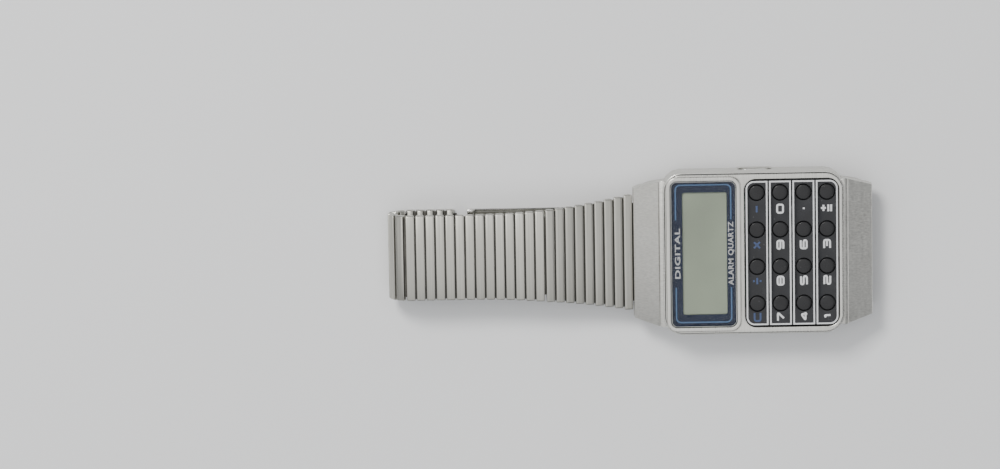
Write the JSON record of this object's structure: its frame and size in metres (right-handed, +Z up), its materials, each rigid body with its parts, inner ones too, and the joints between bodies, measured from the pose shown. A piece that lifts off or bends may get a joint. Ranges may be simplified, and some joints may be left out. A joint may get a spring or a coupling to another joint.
{
  "type": "calculator wristwatch",
  "caption": "Wristwatch with a calculator keypad below its liquid crystal display, on a closed metal bracelet with a folding clasp, lying flat.",
  "frame": {"origin": "the middle of the bounding box, on the surface that the watch lies on", "axes": "+X along the bracelet, from the display side of the case towards the keypad side; +Y across the wrist, the way the key legends read; +Z up out of the face"},
  "size_m": [0.1018, 0.0346, 0.0109],
  "materials": {
    "case_steel": "satin stainless with polished bevels",
    "face_steel": "fine satin with bright edges",
    "bracelet_steel": "satin across the bars",
    "back_steel": "satin, small parts polished",
    "key_plastic": "low domes, glossy",
    "keypad_lacquer": "glossy charcoal with white lines and legends",
    "crystal_glass": "clear flat window",
    "mask_print": "navy print with a light blue line",
    "lcd_glass": "grey-green liquid crystal cell",
    "rubber": "matt elastomer",
    "board": "green solder resist",
    "module_plastic": "moulded, matt",
    "cell_steel": "nickel-plated can",
    "piezo_brass": "brass disc"
  },
  "bodies": {
    "head": {"back_gasket": "rubber", "back_screw_1": "back_steel", "back_screw_2": "back_steel", "back_screw_3": "back_steel", "back_screw_4": "back_steel", "battery": "cell_steel", "case_back": "back_steel", "case_body": "case_steel", "chip": "module_plastic", "circuit_board": "board", "display_crystal": "crystal_glass", "display_frame": "face_steel", "display_mask": "mask_print", "face_plate": "face_steel", "key_mat": "rubber", "keypad_panel": "keypad_lacquer", "lcd_panel": "lcd_glass", "module_frame": "module_plastic", "piezo_disc": "piezo_brass", "pusher_spring_lower": "back_steel", "pusher_spring_upper": "back_steel", "quartz_crystal": "cell_steel", "spring_bar_left": "back_steel", "spring_bar_right": "back_steel", "zebra_strip_1": "rubber", "zebra_strip_2": "rubber"},
    "left_run_rise": {"left_run_rise": "bracelet_steel"},
    "left_run_level": {"left_run_level": "bracelet_steel"},
    "left_link_1": {"left_link_1": "bracelet_steel"},
    "left_link_2": {"left_link_2": "bracelet_steel"},
    "left_link_3": {"left_link_3": "bracelet_steel"},
    "left_link_4": {"left_link_4": "bracelet_steel"},
    "left_link_5": {"left_link_5": "bracelet_steel"},
    "left_run_lower": {"left_run_lower": "bracelet_steel"},
    "clasp_inner_blade": {"clasp_inner_blade": "bracelet_steel"},
    "clasp_outer_blade": {"clasp_outer_blade": "bracelet_steel"},
    "clasp_cover": {"clasp_cover": "bracelet_steel"},
    "right_link_1": {"right_link_1": "bracelet_steel"},
    "right_link_2": {"right_link_2": "bracelet_steel"},
    "right_run_lower": {"right_run_lower": "bracelet_steel"},
    "pusher_upper": {"pusher_upper": "back_steel"},
    "pusher_lower": {"pusher_lower": "back_steel"},
    "key_0": {"key_0": "key_plastic"},
    "key_1": {"key_1": "key_plastic"},
    "key_2": {"key_2": "key_plastic"},
    "key_3": {"key_3": "key_plastic"},
    "key_4": {"key_4": "key_plastic"},
    "key_5": {"key_5": "key_plastic"},
    "key_6": {"key_6": "key_plastic"},
    "key_7": {"key_7": "key_plastic"},
    "key_8": {"key_8": "key_plastic"},
    "key_9": {"key_9": "key_plastic"},
    "key_clear": {"key_clear": "key_plastic"},
    "key_divide": {"key_divide": "key_plastic"},
    "key_minus": {"key_minus": "key_plastic"},
    "key_plus_equals": {"key_plus_equals": "key_plastic"},
    "key_point": {"key_point": "key_plastic"},
    "key_times": {"key_times": "key_plastic"}
  },
  "joints": [
    {"name": "left_hood_hinge", "type": "hinge", "parent": "head", "child": "left_run_rise", "pos_m": [0.00166, 0, 0.00511], "axis": [0, 1, 0], "range_deg": [-10.08, 0]},
    {"name": "left_crest_hinge", "type": "hinge", "parent": "left_run_rise", "child": "left_run_level", "pos_m": [-0.01799, 0, 0.0086], "axis": [0, 1, 0], "range_deg": [0, 10.08]},
    {"name": "left_turn_hinge_1", "type": "hinge", "parent": "left_run_level", "child": "left_link_1", "pos_m": [-0.04725, 0, 0.0086], "axis": [0, 1, 0], "range_deg": [0, 30]},
    {"name": "left_turn_hinge_2", "type": "hinge", "parent": "left_link_1", "child": "left_link_2", "pos_m": [-0.04906, 0, 0.00756], "axis": [0, 1, 0], "range_deg": [0, 30]},
    {"name": "left_turn_hinge_3", "type": "hinge", "parent": "left_link_2", "child": "left_link_3", "pos_m": [-0.0501, 0, 0.00575], "axis": [0, 1, 0], "range_deg": [0, 30]},
    {"name": "left_turn_hinge_4", "type": "hinge", "parent": "left_link_3", "child": "left_link_4", "pos_m": [-0.0501, 0, 0.00365], "axis": [0, 1, 0], "range_deg": [0, 30]},
    {"name": "left_turn_hinge_5", "type": "hinge", "parent": "left_link_4", "child": "left_link_5", "pos_m": [-0.04906, 0, 0.00185], "axis": [0, 1, 0], "range_deg": [0, 30]},
    {"name": "left_turn_hinge_6", "type": "hinge", "parent": "left_link_5", "child": "left_run_lower", "pos_m": [-0.04725, 0, 0.0008], "axis": [0, 1, 0], "range_deg": [0, 30]},
    {"name": "clasp_inner_hinge", "type": "hinge", "parent": "left_run_lower", "child": "clasp_inner_blade", "pos_m": [-0.0368, 0, 0.0008], "axis": [0, 1, 0], "range_deg": [0, 70]},
    {"name": "clasp_outer_hinge", "type": "hinge", "parent": "clasp_inner_blade", "child": "clasp_outer_blade", "pos_m": [-0.00764, 0, 0.0019], "axis": [0, -1, 0], "range_deg": [0, 75]},
    {"name": "clasp_cover_hinge", "type": "hinge", "parent": "clasp_outer_blade", "child": "clasp_cover", "pos_m": [-0.0338, 0, 0.0013], "axis": [0, 1, 0], "range_deg": [0, 75]},
    {"name": "right_hood_hinge", "type": "hinge", "parent": "head", "child": "right_link_1", "pos_m": [0.05, 0, 0.00511], "axis": [0, -1, 0], "range_deg": [0, 108]},
    {"name": "right_bend_hinge_1", "type": "hinge", "parent": "right_link_1", "child": "right_link_2", "pos_m": [0.049, 0, 0.00203], "axis": [0, -1, 0], "range_deg": [0, 36]},
    {"name": "right_bend_hinge_2", "type": "hinge", "parent": "right_link_2", "child": "right_run_lower", "pos_m": [0.04731, 0, 0.0008], "axis": [0, -1, 0], "range_deg": [0, 36]},
    {"name": "key_0_travel", "type": "slide", "parent": "head", "child": "key_0", "axis": [0, 0, 1], "range_m": [-0.0004, 0], "stiffness_N_per_m": 300},
    {"name": "key_1_travel", "type": "slide", "parent": "head", "child": "key_1", "axis": [0, 0, 1], "range_m": [-0.0004, 0], "stiffness_N_per_m": 300},
    {"name": "key_2_travel", "type": "slide", "parent": "head", "child": "key_2", "axis": [0, 0, 1], "range_m": [-0.0004, 0], "stiffness_N_per_m": 300},
    {"name": "key_3_travel", "type": "slide", "parent": "head", "child": "key_3", "axis": [0, 0, 1], "range_m": [-0.0004, 0], "stiffness_N_per_m": 300},
    {"name": "key_4_travel", "type": "slide", "parent": "head", "child": "key_4", "axis": [0, 0, 1], "range_m": [-0.0004, 0], "stiffness_N_per_m": 300},
    {"name": "key_5_travel", "type": "slide", "parent": "head", "child": "key_5", "axis": [0, 0, 1], "range_m": [-0.0004, 0], "stiffness_N_per_m": 300},
    {"name": "key_6_travel", "type": "slide", "parent": "head", "child": "key_6", "axis": [0, 0, 1], "range_m": [-0.0004, 0], "stiffness_N_per_m": 300},
    {"name": "key_7_travel", "type": "slide", "parent": "head", "child": "key_7", "axis": [0, 0, 1], "range_m": [-0.0004, 0], "stiffness_N_per_m": 300},
    {"name": "key_8_travel", "type": "slide", "parent": "head", "child": "key_8", "axis": [0, 0, 1], "range_m": [-0.0004, 0], "stiffness_N_per_m": 300},
    {"name": "key_9_travel", "type": "slide", "parent": "head", "child": "key_9", "axis": [0, 0, 1], "range_m": [-0.0004, 0], "stiffness_N_per_m": 300},
    {"name": "key_clear_travel", "type": "slide", "parent": "head", "child": "key_clear", "axis": [0, 0, 1], "range_m": [-0.0004, 0], "stiffness_N_per_m": 300},
    {"name": "key_divide_travel", "type": "slide", "parent": "head", "child": "key_divide", "axis": [0, 0, 1], "range_m": [-0.0004, 0], "stiffness_N_per_m": 300},
    {"name": "key_minus_travel", "type": "slide", "parent": "head", "child": "key_minus", "axis": [0, 0, 1], "range_m": [-0.0004, 0], "stiffness_N_per_m": 300},
    {"name": "key_plus_equals_travel", "type": "slide", "parent": "head", "child": "key_plus_equals", "axis": [0, 0, 1], "range_m": [-0.0004, 0], "stiffness_N_per_m": 300},
    {"name": "key_point_travel", "type": "slide", "parent": "head", "child": "key_point", "axis": [0, 0, 1], "range_m": [-0.0004, 0], "stiffness_N_per_m": 300},
    {"name": "key_times_travel", "type": "slide", "parent": "head", "child": "key_times", "axis": [0, 0, 1], "range_m": [-0.0004, 0], "stiffness_N_per_m": 300},
    {"name": "pusher_upper_travel", "type": "slide", "parent": "head", "child": "pusher_upper", "axis": [0, 1, 0], "range_m": [-0.0005, 0], "stiffness_N_per_m": 400},
    {"name": "pusher_lower_travel", "type": "slide", "parent": "head", "child": "pusher_lower", "axis": [0, -1, 0], "range_m": [-0.0005, 0], "stiffness_N_per_m": 400}
  ]
}
